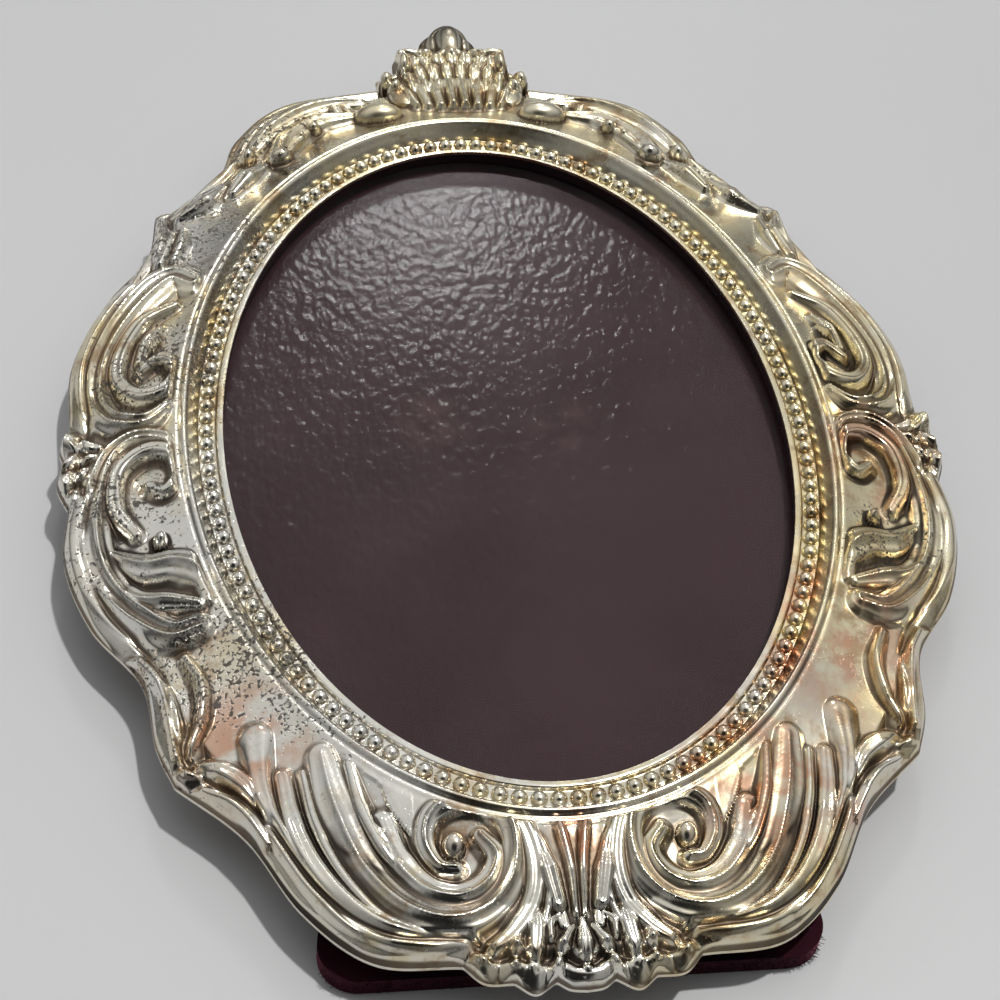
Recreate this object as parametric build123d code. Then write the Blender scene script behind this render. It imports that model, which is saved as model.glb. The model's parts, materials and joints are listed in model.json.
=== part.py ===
from build123d import *
import os
from math import cos, hypot, pi, radians, sin

# Viewing opening, an oval for a 4 x 6 inch print
opening_half_width = 48.0
opening_half_height = 72.0

# Back stack, measured up from the surface that the folded leg lies on
velvet_thickness = 0.5
leg_board_thickness = 2.4
leg_fold_gap = 1.0
back_board_thickness = 3.0
door_board_thickness = 2.4
insert_thickness = 1.0
glass_thickness = 1.8
spacer_height = 1.9

# Fits inside the back
glass_overlap = 2.6
rebate_clearance = 0.4
door_clearance = 0.5
spacer_wall = 1.0
spacer_setback = 0.1

# Rim of the stamped front
plate_thickness = 0.9
lip_width = 1.2
lip_thickness = 0.7
groove_width = 3.1
groove_drop = 0.8
rim_wall_run = 1.7
ridge_rise = 3.3
ridge_width = 1.2
ridge_shoulder = 0.7
field_run = 13.5
field_fall = 4.0
collar_wall = 1.0
hollow_width = 8.0

# Bead ring in the groove
bead_diameter = 2.75
bead_pitch = 2.95
bead_sides = 6
boss_sides = 8
finial_sides = 12

# Chased ornament
relief_rise = 2.6
finial_rise = 5.6

# Folded tabs that hold the front on its back board
tab_width = 6.0
tab_thickness = 0.4
tab_reach = 4.5
tab_gap = 0.3

# Turn buttons
button_length = 9.5
button_width = 7.0
button_thickness = 0.6
button_float = 0.05
button_setback = 4.5
button_gap = 0.4
button_rivet_radius = 1.2
button_rivet_head_radius = 2.2
button_rivet_head = 0.6
button_rivet_depth = 2.4
button_bore_clearance = 0.05
upper_button_angle = 50.0
lower_button_angle = -30.0

# Easel leg
leg_foot_half_width = 37.9
leg_top_half_width = 19.0
leg_foot_y = -97.8
leg_foot_radius = 5.5
leg_top_radius = 3.0

# Leg hinge
hinge_y = 21.5
hinge_half_width = 15.0
knuckle_radius = 1.0
hinge_pin_radius = 0.55
pin_clearance = 0.05
knuckle_share = 0.5
knuckle_gap = 0.3
knuckle_lift = 0.3
leaf_thickness = 0.5
leaf_length = 13.0
leg_top_gap = 2.0
stop_length = 2.0
stop_thickness = 0.6
stop_tilt = 13.0
open_angle = 32.0
stop_width = 12.0
rivet_radius = 1.0
rivet_head_radius = 1.9
rivet_head = 0.5
rivet_inset = 5.0
rivet_end_gap = 4.0
rivet_hole_clearance = 0.02

# One overrun for every cut
overrun = 5.0

# Levels of the stack
leg_top_z = 2 * velvet_thickness + leg_board_thickness
back_z = leg_top_z + leg_fold_gap
board_z = back_z + velvet_thickness
flange_z = board_z + back_board_thickness
flange_top_z = flange_z + plate_thickness
insert_z = board_z + door_board_thickness
glass_z = insert_z + insert_thickness
spacer_z = glass_z + glass_thickness
lip_under_z = spacer_z + spacer_height
lip_z = lip_under_z + lip_thickness
groove_z = lip_z - groove_drop
ridge_z = groove_z + ridge_rise
field_z = ridge_z - ridge_shoulder
field_foot_z = field_z - field_fall
hollow_z = field_foot_z - plate_thickness
relief_sink = field_foot_z - flange_z - plate_thickness / 2

# Distances outward from the edge of the opening
groove_out = lip_width + groove_width
ridge_in = groove_out + rim_wall_run
ridge_out = ridge_in + ridge_width
field_in = ridge_out + ridge_shoulder
field_out = field_in + field_run
rebate_out = glass_overlap + rebate_clearance
collar_out = rebate_out + collar_wall
hollow_out = collar_out + hollow_width
door_out = rebate_out - door_clearance
button_out = rebate_out + button_setback
pin_z = back_z - knuckle_lift - knuckle_radius

# Ends of the front's outer edge, in shares of the opening's half width
petal_foot_share = -2.18
finial_tip_share = 2.376

# Half of the outer edge, bottom centre to finial, in the same shares
edge_shares = [
    [(0, -2.177), (0.05, -2.17), (0.088, -2.145)],
    [(0.088, -2.145), (0.155, petal_foot_share), (0.213, -2.141)],
    [(0.213, -2.141), (0.3, -2.135), (0.36, -2.078)],
    [(0.36, -2.078), (0.62, -2.05), (0.82, -1.87), (0.98, -1.6), (1.19, -1.4)],
    [(1.19, -1.4), (1.245, -1.25), (1.29, -1.0), (1.45, -0.77), (1.54, -0.5), (1.532, -0.26)],
    [(1.532, -0.26), (1.572, -0.15), (1.55, -0.05)],
    [(1.55, -0.05), (1.566, 0.02), (1.532, 0.1)],
    [(1.532, 0.1), (1.53, 0.42), (1.41, 0.75), (1.26, 0.99), (1.225, 1.225)],
    [(1.225, 1.225), (1.2, 1.245), (1.165, 1.25)],
    [(1.165, 1.25), (0.98, 1.46), (0.9, 1.68), (0.7, 1.9), (0.31, 1.995)],
    [(0.31, 1.995), (0.315, 2.05), (0.24, 2.06)],
    [(0.24, 2.06), (0.23, 2.18), (0.12, 2.18)],
    [(0.12, 2.18), (0.115, 2.29), (0.06, 2.362), (0, finial_tip_share)],
]

# Oval back board, in the same shares
board_half_width_share = 1.36
board_half_height_share = 1.9
board_drop_share = 0.05
board_drop = board_drop_share * opening_half_width

# Places of the folded tabs round the right half of the board, in degrees
tab_angles = [-65, -5, 22, 72]

# Corners of a leaf's section, in shares of its half width and its rise
crest_shares = [(-0.62, 0.74), (0, 1), (0.62, 0.74)]

# Sizes and lifts of the rounded forms, in shares of their own half size and height
bead_profile_shares = [(1, 0), (0.6, 0.92)]
boss_profile_shares = [(1, 0), (0.77, 0.66), (0.3, 1)]
finial_profile_shares = [(1, 0), (0.93, 0.42), (0.72, 0.74), (0.38, 0.95), (0.1, 1)]

# Leaves of the right half: path, half widths and rises along it, all shares
bottom_leaf_shares = [
    ([(0.57, -1.62), (0.54, -1.75), (0.46, -1.85), (0.36, -1.885), (0.27, -1.85),
      (0.235, -1.77), (0.28, -1.7)], [0.03, 0.048, 0.045, 0.036, 0.02], [0.3, 0.8, 0.9, 0.9, 0.6]),
    ([(0.74, -1.38), (0.71, -1.55), (0.64, -1.75), (0.54, -1.89), (0.42, -1.955), (0.3, -1.94),
      (0.2, -1.85), (0.175, -1.72), (0.22, -1.62), (0.33, -1.585), (0.42, -1.62), (0.445, -1.7),
      (0.41, -1.775), (0.355, -1.79)],
     [0.035, 0.058, 0.05, 0.045, 0.04, 0.036, 0.03, 0.018], [0.3, 0.8, 1.0, 1.0, 1.0, 0.9, 0.7, 0.5]),
    ([(0.86, -1.43), (0.84, -1.57), (0.79, -1.73), (0.7, -1.88), (0.58, -1.985), (0.45, -2.02),
      (0.34, -2.0)], [0.022, 0.038, 0.042, 0.042, 0.03], [0.3, 0.8, 1.0, 1.0, 0.5]),
    ([(0.94, -1.28), (0.93, -1.45), (0.88, -1.63), (0.8, -1.79), (0.7, -1.93), (0.58, -2.02)],
     [0.04, 0.032, 0.03, 0.03, 0.018], [0.3, 0.8, 0.9, 0.9, 0.4]),
    ([(0.27, -1.59), (0.17, -1.65), (0.125, -1.78), (0.135, -1.9), (0.2, -2.0), (0.3, -2.075)],
     [0.02, 0.034, 0.036, 0.034, 0.02], [0.2, 0.8, 1.0, 0.9, 0.4]),
    ([(0.085, -1.64), (0.055, -1.78), (0.03, -1.95)], [0.024, 0.026, 0.012], [0.4, 0.9, 0.6]),
    ([(0.0, -2.0), (0.0, -2.06), (0.0, -2.135)], [0.03, 0.052, 0.03], [0.5, 1.0, 0.3]),
    ([(0.1, -1.93), (0.135, -2.03), (0.155, -2.13)], [0.022, 0.032, 0.02], [0.5, 1.0, 0.3]),
]
side_leaf_shares = [
    ([(1.145, -1.38), (1.06, -1.385), (0.98, -1.44), (0.93, -1.54)],
     [0.018, 0.036, 0.03, 0.016], [0.4, 0.9, 0.8, 0.4]),
    ([(1.1, -1.45), (1.02, -1.49), (0.96, -1.56), (0.91, -1.65)],
     [0.012, 0.024, 0.026, 0.014], [0.4, 0.7, 0.8, 0.4]),
    ([(1.29, -0.94), (1.225, -1.05), (1.19, -1.18), (1.18, -1.32)],
     [0.014, 0.024, 0.024, 0.014], [0.3, 0.8, 0.9, 0.4]),
    ([(1.15, -0.96), (1.1, -1.08), (1.105, -1.2), (1.145, -1.31)],
     [0.014, 0.022, 0.022, 0.012], [0.3, 0.8, 0.8, 0.4]),
    ([(1.14, -0.12), (1.2, -0.045), (1.3, -0.025), (1.39, -0.08), (1.44, -0.22), (1.455, -0.42),
      (1.42, -0.6), (1.33, -0.75), (1.2, -0.86), (1.1, -0.85)],
     [0.02, 0.036, 0.05, 0.062, 0.066, 0.06, 0.04], [0.3, 0.9, 0.9, 0.9, 0.9, 1.0, 0.6]),
    ([(1.3, -0.44), (1.37, -0.32), (1.36, -0.17), (1.27, -0.1), (1.18, -0.13), (1.155, -0.22),
      (1.2, -0.285), (1.255, -0.25)],
     [0.018, 0.032, 0.032, 0.03, 0.026, 0.018], [0.4, 0.9, 1.0, 1.0, 0.9, 0.6]),
    ([(1.39, -0.5), (1.28, -0.585), (1.17, -0.6), (1.08, -0.66), (1.06, -0.74)],
     [0.02, 0.044, 0.05, 0.03], [0.4, 0.9, 1.0, 0.5]),
    ([(1.09, 0.74), (1.17, 0.79), (1.27, 0.71), (1.37, 0.56), (1.435, 0.38), (1.44, 0.2),
      (1.38, 0.08), (1.27, 0.05), (1.18, 0.12)],
     [0.05, 0.08, 0.068, 0.056, 0.05, 0.046, 0.024], [0.5, 0.9, 0.9, 0.9, 0.9, 1.0, 0.4]),
    ([(1.16, 0.63), (1.27, 0.57), (1.345, 0.43), (1.365, 0.28), (1.3, 0.175), (1.2, 0.175),
      (1.15, 0.27), (1.21, 0.345), (1.285, 0.3)],
     [0.018, 0.03, 0.032, 0.032, 0.032, 0.03, 0.018], [0.4, 0.8, 0.9, 1.0, 1.0, 0.9, 0.6]),
    ([(1.21, 0.52), (1.26, 0.44), (1.29, 0.36)], [0.012, 0.026, 0.012], [0.3, 0.8, 0.3]),
    ([(1.195, 1.15), (1.185, 1.03), (1.215, 0.9)], [0.02, 0.036, 0.02], [0.4, 0.8, 0.4]),
]
top_leaf_shares = [
    ([(0.4, 1.84), (0.52, 1.835), (0.66, 1.77), (0.78, 1.66), (0.85, 1.54)],
     [0.03, 0.05, 0.048, 0.03], [0.6, 0.9, 0.9, 0.5]),
    ([(0.44, 1.74), (0.57, 1.72), (0.68, 1.62), (0.74, 1.47)],
     [0.024, 0.05, 0.056, 0.04], [0.4, 0.8, 0.9, 0.9]),
    ([(0.8, 1.42), (0.87, 1.35), (0.93, 1.26)], [0.018, 0.04, 0.022], [0.3, 0.9, 0.5]),
    ([(0.97, 1.33), (1.05, 1.235), (1.13, 1.175)], [0.018, 0.046, 0.02], [0.3, 0.9, 0.4]),
]
crest_leaf_shares = [
    ([(0.025, 1.77), (0.028, 1.92), (0.035, 2.08)], [0.018, 0.024, 0.02], [0.7, 1.0, 1.0]),
    ([(0.075, 1.77), (0.085, 1.9), (0.1, 2.05)], [0.018, 0.026, 0.022], [0.6, 1.0, 1.0]),
    ([(0.125, 1.78), (0.145, 1.88), (0.17, 2.02)], [0.018, 0.026, 0.022], [0.5, 0.9, 0.9]),
]

# Bosses of the right half: place, half sizes and rise, all shares
boss_shares = [
    (0.335, 1.72, 0.095, 0.062, 1.15),
    (0.865, 1.505, 0.036, 0.04, 1.0),
    (0.74, 1.455, 0.05, 0.04, 1.1),
    (0.6, 1.64, 0.032, 0.03, 1.0),
    (0.275, 1.99, 0.036, 0.04, 1.0),
    (0.17, 2.11, 0.056, 0.072, 1.5),
    (1.5, -0.17, 0.05, 0.062, 0.7),
    (1.505, 0.01, 0.04, 0.045, 0.7),
    (1.22, -0.49, 0.025, 0.03, 0.9),
    (0.36, -1.72, 0.035, 0.04, 0.7),
]
finial_shares = (0, 2.235, 0.094, 0.125)
fan_shares = [(-0.15, 1.76), (0.15, 1.76), (0.2, 2.1), (0, 2.2), (-0.2, 2.1)]
fan_rise_share = 0.62


def place(share_x, share_y):
    return Vector(share_x * opening_half_width, share_y * opening_half_width, 0)


def oval_wire(out, z):
    edge = Edge.make_ellipse(opening_half_width + out, opening_half_height + out)
    return Wire([edge]).translate(Vector(0, 0, z))


def oval_disc(out, z, height):
    return Solid.extrude(Face(oval_wire(out, z)), Vector(0, 0, height))


def oval_ring(inner, outer, z, height):
    cut = oval_disc(inner, z - overrun, height + 2 * overrun)
    return oval_disc(outer, z, height) - cut


def profile_ring(profile):
    wires = [oval_wire(out, z) for out, z in profile]
    faces = []
    for wire, following in zip(wires, wires[1:] + wires[:1]):
        faces.append(Face.make_surface_from_curves(wire.edges()[0], following.edges()[0]))
    return Solid(Shell(faces))


def edge_plate(z, height):
    edges = []
    for run in edge_shares:
        for side in (1, -1):
            edges.append(Spline([place(side * x, y) for x, y in run]))
    face = Face(Wire(edges)).translate(Vector(0, 0, z))
    return Solid.extrude(face, Vector(0, 0, height))


def rim_distance(x, y):
    near = -opening_half_width / 2
    far = opening_half_height
    for _ in range(40):
        middle = (near + far) / 2
        reach = hypot(x / (opening_half_width + middle), y / (opening_half_height + middle))
        if reach > 1:
            near = middle
        else:
            far = middle
    return near


def field_level(x, y):
    out = rim_distance(x, y)
    slope = (out - field_in) / (field_out - field_in)
    slope = min(max(slope, 0), 1)
    return field_z - slope * field_fall


def along(values, position):
    scaled = position * (len(values) - 1)
    index = min(int(scaled), len(values) - 2)
    part = scaled - index
    return values[index] * (1 - part) + values[index + 1] * part


def leaf_section(path, position, widths, rises):
    spot = path.position_at(position)
    heading = path.tangent_at(position)
    half = along(widths, position) * opening_half_width
    rise = along(rises, position) * relief_rise
    level = field_level(spot.X, spot.Y)
    plane = Plane(
        origin=(spot.X, spot.Y, level),
        x_dir=(heading.Y, -heading.X, 0),
        z_dir=(heading.X, heading.Y, 0),
    )
    crest = [(x * half, y * rise) for x, y in crest_shares]
    corners = [(-half, -relief_sink)] + crest + [(half, -relief_sink)]
    spots = [plane.from_local_coords(Vector(x, y, 0)) for x, y in corners]
    return Wire.make_polygon(spots, close=True)


def leaf(points, widths, rises, side):
    path = Spline([place(side * x, y) for x, y in points])
    spans = len(points)
    sections = [leaf_section(path, step / spans, widths, rises) for step in range(spans + 1)]
    return Solid.make_loft(sections, ruled=True)


def dome(spot, half_x, half_y, level, height, profile, sides, sink):
    wires = []
    steps = [(profile[0][0], -sink / height)] + profile
    for size, lift in steps:
        corners = []
        for step in range(sides):
            angle = 2 * pi * step / sides
            x = spot.X + size * half_x * cos(angle)
            y = spot.Y + size * half_y * sin(angle)
            corners.append(Vector(x, y, level + lift * height))
        wires.append(Wire.make_polygon(corners, close=True))
    return Solid.make_loft(wires, ruled=True)


def boss(x, y, half_x, half_y, rise, side):
    spot = place(side * x, y)
    level = field_level(spot.X, spot.Y)
    reach_x = half_x * opening_half_width
    reach_y = half_y * opening_half_width
    height = rise * relief_rise
    return dome(spot, reach_x, reach_y, level, height, boss_profile_shares, boss_sides, relief_sink)


def bead_ring():
    reach = lip_width + groove_width / 2
    track = Edge.make_ellipse(opening_half_width + reach, opening_half_height + reach)
    count = round(track.length / bead_pitch)
    radius = bead_diameter / 2
    sink = lip_thickness / 2
    spots = [track.position_at(step / count) for step in range(count)]
    return [dome(spot, radius, radius, groove_z, radius, bead_profile_shares, bead_sides, sink) for spot in spots]


def rim():
    inner = [
        (0, lip_under_z),
        (0, lip_z),
        (lip_width, lip_z),
        (lip_width, groove_z),
        (groove_out, groove_z),
        (ridge_in, ridge_z),
        (ridge_out, ridge_z),
        (field_in, field_z),
        (field_out, field_foot_z),
    ]
    under = [
        (field_out, flange_z),
        (hollow_out, flange_z),
        (hollow_out, hollow_z),
        (collar_out, hollow_z),
        (collar_out, flange_z),
        (rebate_out, flange_z),
        (rebate_out, groove_z - lip_thickness),
        (lip_width, groove_z - lip_thickness),
        (lip_width, lip_under_z),
    ]
    return profile_ring(inner + under)


def crest_fan():
    corners = [place(x, y) for x, y in fan_shares]
    face = Face(Wire.make_polygon(corners, close=True)).translate(Vector(0, 0, flange_z))
    height = field_foot_z + fan_rise_share * relief_rise - flange_z
    return Solid.extrude(face, Vector(0, 0, height))


def finial():
    x, y, half_x, half_y = finial_shares
    reach_x = half_x * opening_half_width
    reach_y = half_y * opening_half_width
    sink = plate_thickness / 2
    spot = place(x, y)
    return dome(spot, reach_x, reach_y, flange_top_z, finial_rise, finial_profile_shares, finial_sides, sink)


def ornament():
    pieces = [crest_fan(), finial()]
    for side in (1, -1):
        for table in (bottom_leaf_shares, side_leaf_shares, top_leaf_shares, crest_leaf_shares):
            for points, widths, rises in table:
                if points[0][0] > 0 or side > 0:
                    pieces.append(leaf(points, widths, rises, side))
        for x, y, half_x, half_y, rise in boss_shares:
            pieces.append(boss(x, y, half_x, half_y, rise, side))
    return pieces


def tab(angle, side):
    half_width = board_half_width_share * opening_half_width
    half_height = board_half_height_share * opening_half_width
    turn = radians(angle)
    spot = Vector(side * half_width * cos(turn), half_height * sin(turn) - board_drop, 0)
    outward = Vector(side * cos(turn) / half_width, sin(turn) / half_height, 0)
    plane = Plane(origin=spot, x_dir=outward, z_dir=(0, 0, 1))
    foot_length = tab_thickness + tab_gap + tab_reach
    foot = Box(foot_length, tab_width, tab_thickness)
    foot = Pos(tab_gap + tab_thickness - foot_length / 2, 0, back_z - tab_thickness / 2) * foot
    wall_height = flange_z + plate_thickness / 2 - back_z
    wall = Box(tab_thickness, tab_width, wall_height)
    wall = Pos(tab_gap + tab_thickness / 2, 0, back_z + wall_height / 2) * wall
    return plane.location * (foot + wall)


def front_shell():
    centre = oval_disc(field_out - plate_thickness / 2, flange_z - overrun, 2 * overrun)
    plate = edge_plate(flange_z, plate_thickness).cut(centre)
    tabs = [tab(angle, side) for angle in tab_angles for side in (1, -1)]
    beaded_rim = rim().fuse(*bead_ring())
    return beaded_rim.fuse(plate, *ornament(), *tabs)


def button_spots():
    reach_x = opening_half_width + button_out
    reach_y = opening_half_height + button_out
    spots = {}
    for height, angle in (("upper", upper_button_angle), ("lower", lower_button_angle)):
        for hand, side in (("right", 1), ("left", -1)):
            turn = radians(angle)
            spot = Vector(side * reach_x * cos(turn), reach_y * sin(turn), 0)
            outward = Vector(side * cos(turn) / reach_x, sin(turn) / reach_y, 0).normalized()
            spots[f"{height}_{hand}"] = (spot, outward)
    return spots


def turn_button(spot, outward):
    z = back_z - button_gap - button_float - button_thickness
    plane = Plane(origin=(spot.X, spot.Y, z), x_dir=-outward, z_dir=(0, 0, 1))
    span = button_length - button_width / 2
    blade = extrude(SlotCenterToCenter(span, button_width), button_thickness)
    bore = Cylinder(button_rivet_radius + button_bore_clearance, 2 * overrun)
    return plane.location * (Pos(span / 2, 0, 0) * blade - bore)


def pillar(spot, radius, z, height):
    return Pos(spot.X, spot.Y, z + height / 2) * Cylinder(radius, height)


def button_rivets():
    rivets = []
    shank_z = back_z - button_gap - 2 * button_float - button_thickness
    for spot, _ in button_spots().values():
        head = pillar(spot, button_rivet_head_radius, shank_z - button_rivet_head, button_rivet_head)
        shank = pillar(spot, button_rivet_radius, shank_z, board_z + button_rivet_depth - shank_z)
        rivets.append(head + shank)
    return Compound(children=rivets)


def back_sheet(z, thickness, hole_depth):
    half_width = board_half_width_share * opening_half_width
    half_height = board_half_height_share * opening_half_width
    face = Face(Wire([Edge.make_ellipse(half_width, half_height)])).translate(Vector(0, -board_drop, z))
    sheet = Solid.extrude(face, Vector(0, 0, thickness))
    sheet = sheet.cut(oval_disc(rebate_out, z - overrun, thickness + 2 * overrun))
    radius = button_rivet_radius + rivet_hole_clearance
    holes = [pillar(spot, radius, z, hole_depth) for spot, _ in button_spots().values()]
    return sheet.cut(*holes)


def leaf_rivet_spots(y):
    reach = hinge_half_width - rivet_inset
    return [Vector(x, y, 0) for x in (-reach, reach)]


def door_rivet_y():
    return hinge_y + leaf_length - rivet_end_gap


def leg_rivet_y():
    return hinge_y - leaf_length + rivet_end_gap


def door_leaf_sheet(z, height):
    start = hinge_y + knuckle_radius - leaf_thickness
    end = hinge_y + leaf_length
    return Pos(0, (start + end) / 2, z + height / 2) * Box(2 * hinge_half_width, end - start, height)


def leg_leaf_sheet(z, height):
    start = hinge_y - leaf_length
    end = hinge_y - knuckle_radius - knuckle_gap
    return Pos(0, (start + end) / 2, z + height / 2) * Box(2 * hinge_half_width, end - start, height)


def knuckle(x, length, radius):
    return Pos(x, hinge_y, pin_z) * Rot(0, 90, 0) * Cylinder(radius, length)


def hinge_leaf_door():
    middle = knuckle_share * hinge_half_width + knuckle_gap
    length = hinge_half_width - middle
    leaf_part = door_leaf_sheet(board_z - leaf_thickness, leaf_thickness)
    web_height = board_z - pin_z
    web_y = hinge_y + knuckle_radius - leaf_thickness / 2
    for side in (1, -1):
        x = side * (middle + length / 2)
        web = Pos(x, web_y, pin_z + web_height / 2) * Box(length, leaf_thickness, web_height)
        leaf_part = leaf_part + knuckle(x, length, knuckle_radius) + web
    leaf_part = leaf_part - knuckle(0, 4 * hinge_half_width, hinge_pin_radius)
    for spot in leaf_rivet_spots(door_rivet_y()):
        leaf_part = leaf_part - pillar(spot, rivet_radius + rivet_hole_clearance, board_z - overrun, 2 * overrun)
    return leaf_part


def stop_tail():
    length = knuckle_radius + stop_length
    tail = Pos(0, length / 2, 0) * Box(stop_width, length, stop_thickness)
    return Pos(0, hinge_y, pin_z) * Rot(stop_tilt - open_angle, 0, 0) * tail


def hinge_leaf_leg():
    middle = knuckle_share * hinge_half_width
    z = velvet_thickness + leg_board_thickness
    leaf_part = leg_leaf_sheet(z, leaf_thickness)
    neck_length = knuckle_radius + 2 * knuckle_gap
    neck = Box(2 * middle, neck_length, leaf_thickness)
    leaf_part = leaf_part + Pos(0, hinge_y - neck_length / 2, z + leaf_thickness / 2) * neck
    leaf_part = leaf_part + knuckle(0, 2 * middle, knuckle_radius) + stop_tail()
    leaf_part = leaf_part - knuckle(0, 4 * hinge_half_width, hinge_pin_radius + pin_clearance)
    for spot in leaf_rivet_spots(leg_rivet_y()):
        leaf_part = leaf_part - pillar(spot, rivet_radius + rivet_hole_clearance, z - overrun, 2 * overrun)
    return leaf_part


def door_leaf_rivets():
    rivets = []
    z = board_z - leaf_thickness
    for spot in leaf_rivet_spots(door_rivet_y()):
        head = pillar(spot, rivet_head_radius, z - rivet_head, rivet_head)
        shank = pillar(spot, rivet_radius, z, leaf_thickness + door_board_thickness)
        rivets.append(head + shank)
    return Compound(children=rivets)


def leg_leaf_rivets():
    rivets = []
    z = velvet_thickness + leg_board_thickness + leaf_thickness
    for spot in leaf_rivet_spots(leg_rivet_y()):
        head = pillar(spot, rivet_head_radius, z, rivet_head)
        shank = pillar(spot, rivet_radius, velvet_thickness, z - velvet_thickness)
        rivets.append(head + shank)
    return Compound(children=rivets)


def leg_face(grow):
    top_y = hinge_y - leg_top_gap
    corners = [
        Vector(-leg_foot_half_width - grow, leg_foot_y - grow, 0),
        Vector(leg_foot_half_width + grow, leg_foot_y - grow, 0),
        Vector(leg_top_half_width + grow, top_y + grow, 0),
        Vector(-leg_top_half_width - grow, top_y + grow, 0),
    ]
    face = Face(Wire.make_polygon(corners, close=True))
    middle_y = (top_y + leg_foot_y) / 2
    face = face.fillet_2d(leg_foot_radius + grow, [v for v in face.vertices() if v.Y < middle_y])
    return face.fillet_2d(leg_top_radius + grow, [v for v in face.vertices() if v.Y > top_y])


def leg_prism(grow, z, height):
    return Solid.extrude(leg_face(grow).translate(Vector(0, 0, z)), Vector(0, 0, height))


def leg_board():
    board = leg_prism(0, velvet_thickness, leg_board_thickness)
    radius = rivet_radius + rivet_hole_clearance
    holes = [pillar(spot, radius, 0, leg_top_z) for spot in leaf_rivet_spots(leg_rivet_y())]
    return board.cut(*holes)


def leg_velvet():
    cover = leg_prism(velvet_thickness, 0, leg_top_z)
    cover = cover.cut(leg_prism(0, velvet_thickness, leg_board_thickness))
    start = hinge_y - leaf_length
    end = hinge_y + overrun
    pocket = Box(2 * hinge_half_width, end - start, overrun)
    floor_z = velvet_thickness + leg_board_thickness
    return cover.cut(Pos(0, (start + end) / 2, floor_z + overrun / 2) * pocket)


def hinge_pin():
    return knuckle(0, 2 * hinge_half_width, hinge_pin_radius)


def door_board():
    board = oval_disc(door_out, board_z, door_board_thickness)
    radius = rivet_radius + rivet_hole_clearance
    holes = [pillar(spot, radius, back_z, overrun) for spot in leaf_rivet_spots(door_rivet_y())]
    return board.cut(*holes)


def door_velvet():
    cover = oval_disc(door_out, back_z, velvet_thickness)
    return cover.cut(door_leaf_sheet(back_z - overrun, 2 * overrun))


def glass_pane():
    return oval_disc(glass_overlap, glass_z, glass_thickness)


def insert_panel():
    return oval_disc(glass_overlap, insert_z, insert_thickness)


def spacer_ring():
    return oval_ring(spacer_setback, spacer_setback + spacer_wall, spacer_z, spacer_height)


def build():
    pieces = {
        "front_shell": front_shell(),
        "spacer_ring": spacer_ring(),
        "glass_pane": glass_pane(),
        "insert_panel": insert_panel(),
        "back_board": back_sheet(board_z, back_board_thickness, button_rivet_depth),
        "back_velvet": back_sheet(back_z, velvet_thickness, velvet_thickness),
        "door_board": door_board(),
        "door_velvet": door_velvet(),
        "button_rivets": button_rivets(),
        "hinge_leaf_door": hinge_leaf_door(),
        "hinge_leaf_leg": hinge_leaf_leg(),
        "hinge_pin": hinge_pin(),
        "door_leaf_rivets": door_leaf_rivets(),
        "leg_leaf_rivets": leg_leaf_rivets(),
        "leg_board": leg_board(),
        "leg_velvet": leg_velvet(),
    }
    for name, (spot, outward) in button_spots().items():
        pieces[f"turn_button_{name}"] = turn_button(spot, outward)
    return pieces


# The origin is midway between the petals and the finial, so the opening sits a little below it
opening_y = -(petal_foot_share + finial_tip_share) / 2 * opening_half_width

os.makedirs("parts", exist_ok=True)
for name, piece in build().items():
    export_step(Pos(0, opening_y, 0) * piece, f"parts/{name}.step")
    print(name, round(piece.volume, 1))
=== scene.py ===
import json
import math

import bmesh
import bpy
import numpy as np
from mathutils import Matrix, Vector
from mathutils.kdtree import KDTree


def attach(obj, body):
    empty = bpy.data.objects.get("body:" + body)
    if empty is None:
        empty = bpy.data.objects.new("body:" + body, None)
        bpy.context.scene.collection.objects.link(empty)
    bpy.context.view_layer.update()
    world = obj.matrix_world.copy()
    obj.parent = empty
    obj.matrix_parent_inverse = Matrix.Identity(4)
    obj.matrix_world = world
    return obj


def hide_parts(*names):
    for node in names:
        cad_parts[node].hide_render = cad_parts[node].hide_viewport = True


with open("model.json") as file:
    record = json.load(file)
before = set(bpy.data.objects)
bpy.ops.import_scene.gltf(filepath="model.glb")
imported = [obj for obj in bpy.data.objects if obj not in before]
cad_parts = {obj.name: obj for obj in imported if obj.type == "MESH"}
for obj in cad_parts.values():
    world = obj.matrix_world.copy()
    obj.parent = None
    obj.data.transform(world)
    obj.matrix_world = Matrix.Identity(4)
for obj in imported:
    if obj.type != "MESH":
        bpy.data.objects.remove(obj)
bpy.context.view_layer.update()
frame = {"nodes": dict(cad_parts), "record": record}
nodes = frame["nodes"]

MM = 0.001

# sizes in mm, outward from the oval opening and up from the table
HALF_WIDTH = 48.0
HALF_HEIGHT = 72.0
CENTRE_Y = -4.704
FLANGE_Z = 7.9
PLATE = 0.9
FLANGE_TOP_Z = FLANGE_Z + PLATE
LIP_WIDTH = 1.2
LIP_TOP_Z = 12.7
GROOVE_WIDTH = 3.1
GROOVE_Z = 11.9
FIELD_IN = 7.9
FIELD_OUT = 21.4
FIELD_TOP_Z = 14.5
FIELD_FOOT_Z = 10.5
RELIEF = 2.6

# how finely the front is meshed
COLUMNS = 2000
FIELD_ROWS = 96
BACK_ROWS = 44
EDGE_SAMPLES = 40
EDGE_FINE_SAMPLES = 120
LEAF_SAMPLES = 36

# the rim's section, out from the opening and up: lip, groove, slope and ridge
RIM_SECTION = [
    (-2.0, LIP_TOP_Z), (1.05, 12.6), (1.2, GROOVE_Z), (4.2, GROOVE_Z), (4.35, 12.3), (4.9, 13.3),
    (5.4, 14.0), (5.9, 14.8), (6.2, 15.1), (6.6, 15.15), (7.0, 14.85), (7.4, 14.4),
]
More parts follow.
